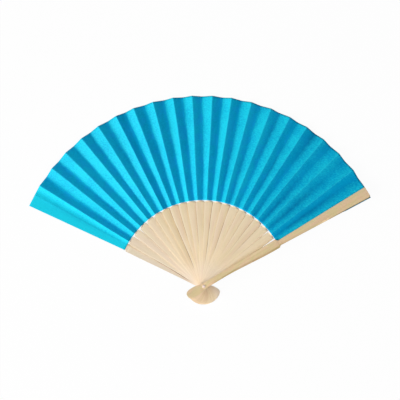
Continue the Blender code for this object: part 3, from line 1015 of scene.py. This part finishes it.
def makePaper():
    material, tree, shader = newMaterial("dyedPaper", {"Specular IOR Level": paperLook["specular"]})
    place = attribute(tree, "leafPlace", "Vector")
    patterns = {name: noise(tree, place, *look) for name, look in paperLook["patterns"].items()}
    folds = addNode(tree, "ShaderNodeSeparateXYZ", {0: attribute(tree, "leafFolds", "Vector")})
    fromCrest, footShade, darkSide = folds.outputs

    def mask(name, value):
        return ramp(tree, value, *paperLook["masks"][name])

    def tinted(colour, name, share):
        return mixColour(tree, share, colour, srgb(*paperLook[name]))

    depth = calculate(tree, "ADD", *[mask(name, patterns[name]) for name in paperLook["depths"]])
    toothDepth = calculate(tree, "MULTIPLY", patterns["tooth"], paperLook["toothDepth"])
    # the tone holds the panels' own differences and painted shade to the right and towards each foot
    tone = calculate(tree, "SUBTRACT", attribute(tree, "leafTone"), paperLook["paleness"])
    depth = calculate(tree, "ADD", depth, toothDepth, tone)
    # painted shade on the glued panels, which face away from the light
    side = calculate(tree, "MULTIPLY", darkSide, paperLook["sideStrength"])
    colour = tinted(srgb(*paperLook["colour"]), "shadedSide", side)
    colour = tinted(colour, "deep", depth)
    cool = calculate(tree, "MULTIPLY", mask("cool", patterns["drift"]), darkSide)
    colour = tinted(colour, "coolPatch", cool)

    # Painted shade along each foot, and a painted highlight on the crests
    foot = calculate(tree, "MULTIPLY", footShade, mask("foot", patterns["mottle"]))
    colour = tinted(colour, "foldShade", foot)
    crestHighlightShare = calculate(tree, "MULTIPLY", mask("crest", fromCrest), mask("crestTooth", patterns["tooth"]))
    colour = tinted(colour, "crestHighlight", crestHighlightShare)
    connectSurface(tree, shader, paperLook, colour, mask("roughness", patterns["tooth"]),
                   addUp(tree, patterns, paperLook["heights"]))
    return material


leaf = makeLeaf()
leafMesh = leaf.data
leafMesh.materials.append(makePaper())
smoothShade(leafMesh, leafShape["sharpAngle"])
weights = [0.0] * len(leafMesh.vertices)
leafMesh.attributes["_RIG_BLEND"].data.foreach_get("value", weights)
lowest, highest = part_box("rear_guard")
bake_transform(leaf, "rear_guard", "front_guard", start=lowest, end=highest)
leafMesh.attributes["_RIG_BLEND"].data.foreach_set("value", weights)
sheetThickness = leaf.modifiers.new("paper", "SOLIDIFY")
sheetThickness.thickness = leafShape["paper"] * mm
sheetThickness.offset = 0
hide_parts(*[f"leaf_{index:02d}" for index in range(lastStick + 1)])
print("stage: leaf folded")


# Rivet: a pin with a small domed head in front, turned over a washer behind

rivetShape = {
    "pin": 1.0,
    "frontRadius": 1.6,
    "frontHeight": 0.6,
    "rearRadius": 1.7,
    "rearHeight": 0.5,
    "gap": 0.1,
    "washerRadius": 2.6,
    "washerThickness": 0.5,
    "washerHole": 1.1,
    "washerEdge": 0.12,
    "sides": 48,
    "domeSteps": 6,
    "mergeDistance": 0.0005,
    "sharpAngle": 40,
}
metalLook = {
    "bright": (228, 210, 202),
    "tarnished": (200, 176, 162),
    "tarnish": (0.4, 0.75),
    "scratches": ((900.0, 5200.0, 900.0), 3.0, 0.5),
    "dents": ((2600.0, 2600.0, 2600.0), 1.0, 0.5),
    "roughness": (0.3, 0.7, 0.6, 0.72),
    "metallic": 0.6,
    "bump": 0.4,
    "grainDepth": 0.1,
}


def turned(name, profile, closed=False):
    bm = bmesh.new()
    verts = [bm.verts.new((radius, 0, height)) for radius, height in profile]
    pairs = list(zip(verts, verts[1:]))
    if closed:
        pairs.append((verts[-1], verts[0]))
    edges = [bm.edges.new(pair) for pair in pairs]
    bmesh.ops.spin(
        bm, geom=verts + edges, cent=(0, 0, 0), axis=(0, 0, 1), angle=math.tau,
        steps=rivetShape["sides"], use_merge=True,
    )
    bmesh.ops.remove_doubles(bm, verts=bm.verts, dist=rivetShape["mergeDistance"])
    bmesh.ops.recalc_face_normals(bm, faces=bm.faces)
    bm.transform(toTable)
    piece = addPiece(name, bm)
    smoothShade(piece.data, rivetShape["sharpAngle"])
    return piece


def dome(radius, height, base, upward):
    steps = rivetShape["domeSteps"]
    turns = [math.pi / 2 * step / steps for step in range(steps + 1)]
    arc = [(radius * math.sin(a), base + upward * height * math.cos(a)) for a in turns]
    return arc if upward > 0 else arc[::-1]


def makeMetal():
    material, tree, shader = newMaterial("rivetMetal", {"Metallic": metalLook["metallic"]})
    place = addNode(tree, "ShaderNodeTexCoord").outputs["Object"]
    scratches = noise(tree, place, *metalLook["scratches"])
    dents = noise(tree, place, *metalLook["dents"])
    colour = mixColour(tree, ramp(tree, dents, *metalLook["tarnish"]), srgb(*metalLook["bright"]),
                       srgb(*metalLook["tarnished"]))
    roughness = ramp(tree, scratches, *metalLook["roughness"])
    connectSurface(tree, shader, metalLook, colour, roughness, dents)
    return material


frontSeat = stackHeight(lastStick) + fan["guardThickness"] / 2 + rivetShape["gap"]
washerTop = -fan["guardThickness"] / 2 - rivetShape["gap"]
washerBottom = washerTop - rivetShape["washerThickness"]
rearSeat = washerBottom - rivetShape["gap"]
pinProfile = dome(rivetShape["frontRadius"], rivetShape["frontHeight"], frontSeat, 1)
pinProfile += [(rivetShape["pin"], frontSeat), (rivetShape["pin"], rearSeat)]
pinProfile += dome(rivetShape["rearRadius"], rivetShape["rearHeight"], rearSeat, -1)
rivetPin = turned("rivetPinTurned", pinProfile)
edge = rivetShape["washerEdge"]
outerEdge = rivetShape["washerRadius"]
hole = rivetShape["washerHole"]
washer = turned("washerRing", [
    (hole, washerTop), (outerEdge - edge, washerTop), (outerEdge, washerTop - edge),
    (outerEdge, washerBottom + edge), (outerEdge - edge, washerBottom), (hole, washerBottom),
], closed=True)
metal = makeMetal()
for piece, node in ((rivetPin, "rivet_pin"), (washer, "rear_washer")):
    piece.data.materials.append(metal)
    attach(piece, "rear_guard")
    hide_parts(node)
print("stage: rivet turned")


# Floor, light and camera, in metres

stageLook = {
    "floorSize": 6.0,
    "floorDrop": 0.0004,
    "floorColour": (0.9, 0.9, 0.9, 1),
    "glow": 0.96,
    "worldStrength": 0.14,
    "aimHeight": 0.008,
    "keyAzimuth": 205,
    "keyElevation": 34,
    "keyDistance": 2.0,
    "keySize": 1.6,
    "keyPower": 45.0,
    "fillAzimuth": 325,
    "fillElevation": 45,
    "fillDistance": 1.6,
    "fillSize": 1.0,
    "fillPower": 5.0,
    "spotAim": (0.006, -0.011, 0),  # a weak spot on the heads' right side, which the stack shades
    "spotAzimuth": 300,
    "spotElevation": 74,
    "spotDistance": 0.4,
    "spotSize": 0.016,
    "spotPower": 2.2,
    "spotAngle": 6,
}


def seenDirectly(tree):
    light = addNode(tree, "ShaderNodeLightPath").outputs
    return calculate(tree, "MAXIMUM", light["Is Camera Ray"], light["Is Glossy Ray"],
                     light["Is Transmission Ray"])


def makeFloor():
    bm = bmesh.new()
    bmesh.ops.create_grid(bm, x_segments=1, y_segments=1, size=stageLook["floorSize"] / 2)
    bmesh.ops.translate(bm, verts=bm.verts, vec=(0, 0, -stageLook["floorDrop"]))
    floor = addPiece("floor", bm)
    material, tree, shader = newMaterial("whiteFloor", {
        "Base Color": stageLook["floorColour"], "Roughness": 0.9, "Specular IOR Level": 0.0,
    })
    glow = addNode(tree, "ShaderNodeEmission", {"Strength": 1.0})
    glowShare = calculate(tree, "MULTIPLY", seenDirectly(tree), stageLook["glow"])
    surface = addNode(tree, "ShaderNodeMixShader",
                      {"Fac": glowShare, 1: shader.outputs[0], 2: glow.outputs[0]})
    tree.links.new(surface.outputs[0], tree.nodes["Material Output"].inputs["Surface"])
    floor.data.materials.append(material)


def addLamp(name, kind, target, glossy=True):
    azimuth = math.radians(stageLook[name + "Azimuth"])
    elevation = math.radians(stageLook[name + "Elevation"])
    offset = Vector((math.cos(azimuth) * math.cos(elevation),
                     math.sin(azimuth) * math.cos(elevation), math.sin(elevation)))
    lamp = bpy.data.lights.new(name, kind)
    lamp.energy = stageLook[name + "Power"]
    holder = addObject(name, lamp)
    holder.location = target + offset * stageLook[name + "Distance"]
    holder.rotation_euler = offset.to_track_quat("Z", "Y").to_euler()
    holder.visible_glossy = glossy
    return lamp


def makeLights():
    for name in ("key", "fill"):
        lamp = addLamp(name, "AREA", Vector((0, 0, stageLook["aimHeight"])), glossy=name == "key")
        lamp.shape = "DISK"
        lamp.size = stageLook[name + "Size"]
    spot = addLamp("spot", "SPOT", Vector(rivet["pos_m"]) + Vector(stageLook["spotAim"]))
    spot.shadow_soft_size = stageLook["spotSize"] / 2
    spot.spot_size = math.radians(stageLook["spotAngle"])
    spot.spot_blend = 1.0
    world = bpy.data.worlds.new("softRoom")
    world.use_nodes = True
    tree = world.node_tree
    room = tree.nodes["Background"]
    room.inputs["Color"].default_value = (1, 1, 1, 1)
    room.inputs["Strength"].default_value = stageLook["worldStrength"]
    backdrop = addNode(tree, "ShaderNodeBackground", {"Color": (1, 1, 1, 1), "Strength": 1.0})
    choice = addNode(tree, "ShaderNodeMixShader",
                     {"Fac": seenDirectly(tree), 1: room.outputs[0], 2: backdrop.outputs[0]})
    tree.links.new(choice.outputs[0], tree.nodes["World Output"].inputs["Surface"])
    bpy.context.scene.world = world


view = {
    "lens": 200,
    "sensor": 36,
    "clip": (0.01, 20),
    "pixels": 400,
    "pivotX": 203.2,  # where the rivet lies in the photograph, in pixels
    "pivotY": 286.5,
    "pixelSize": 1.0,  # millimetres
}


def makeCamera():
    camera = bpy.data.cameras.new("camera")
    camera.lens = view["lens"]
    camera.sensor_width = view["sensor"]
    camera.clip_start, camera.clip_end = view["clip"]
    holder = addObject("camera", camera)
    distance = view["pixels"] * view["pixelSize"] * mm * view["lens"] / view["sensor"]
    aside = (view["pixels"] / 2 - view["pivotX"]) * view["pixelSize"] * mm
    above = (view["pivotY"] - view["pixels"] / 2) * view["pixelSize"] * mm
    holder.location = Vector(rivet["pos_m"]) + Vector((aside, above, distance))
    bpy.context.scene.camera = holder


makeFloor()
makeLights()
makeCamera()
bpy.context.scene.view_settings.view_transform = "Standard"
print("stage: floor, light and camera set")
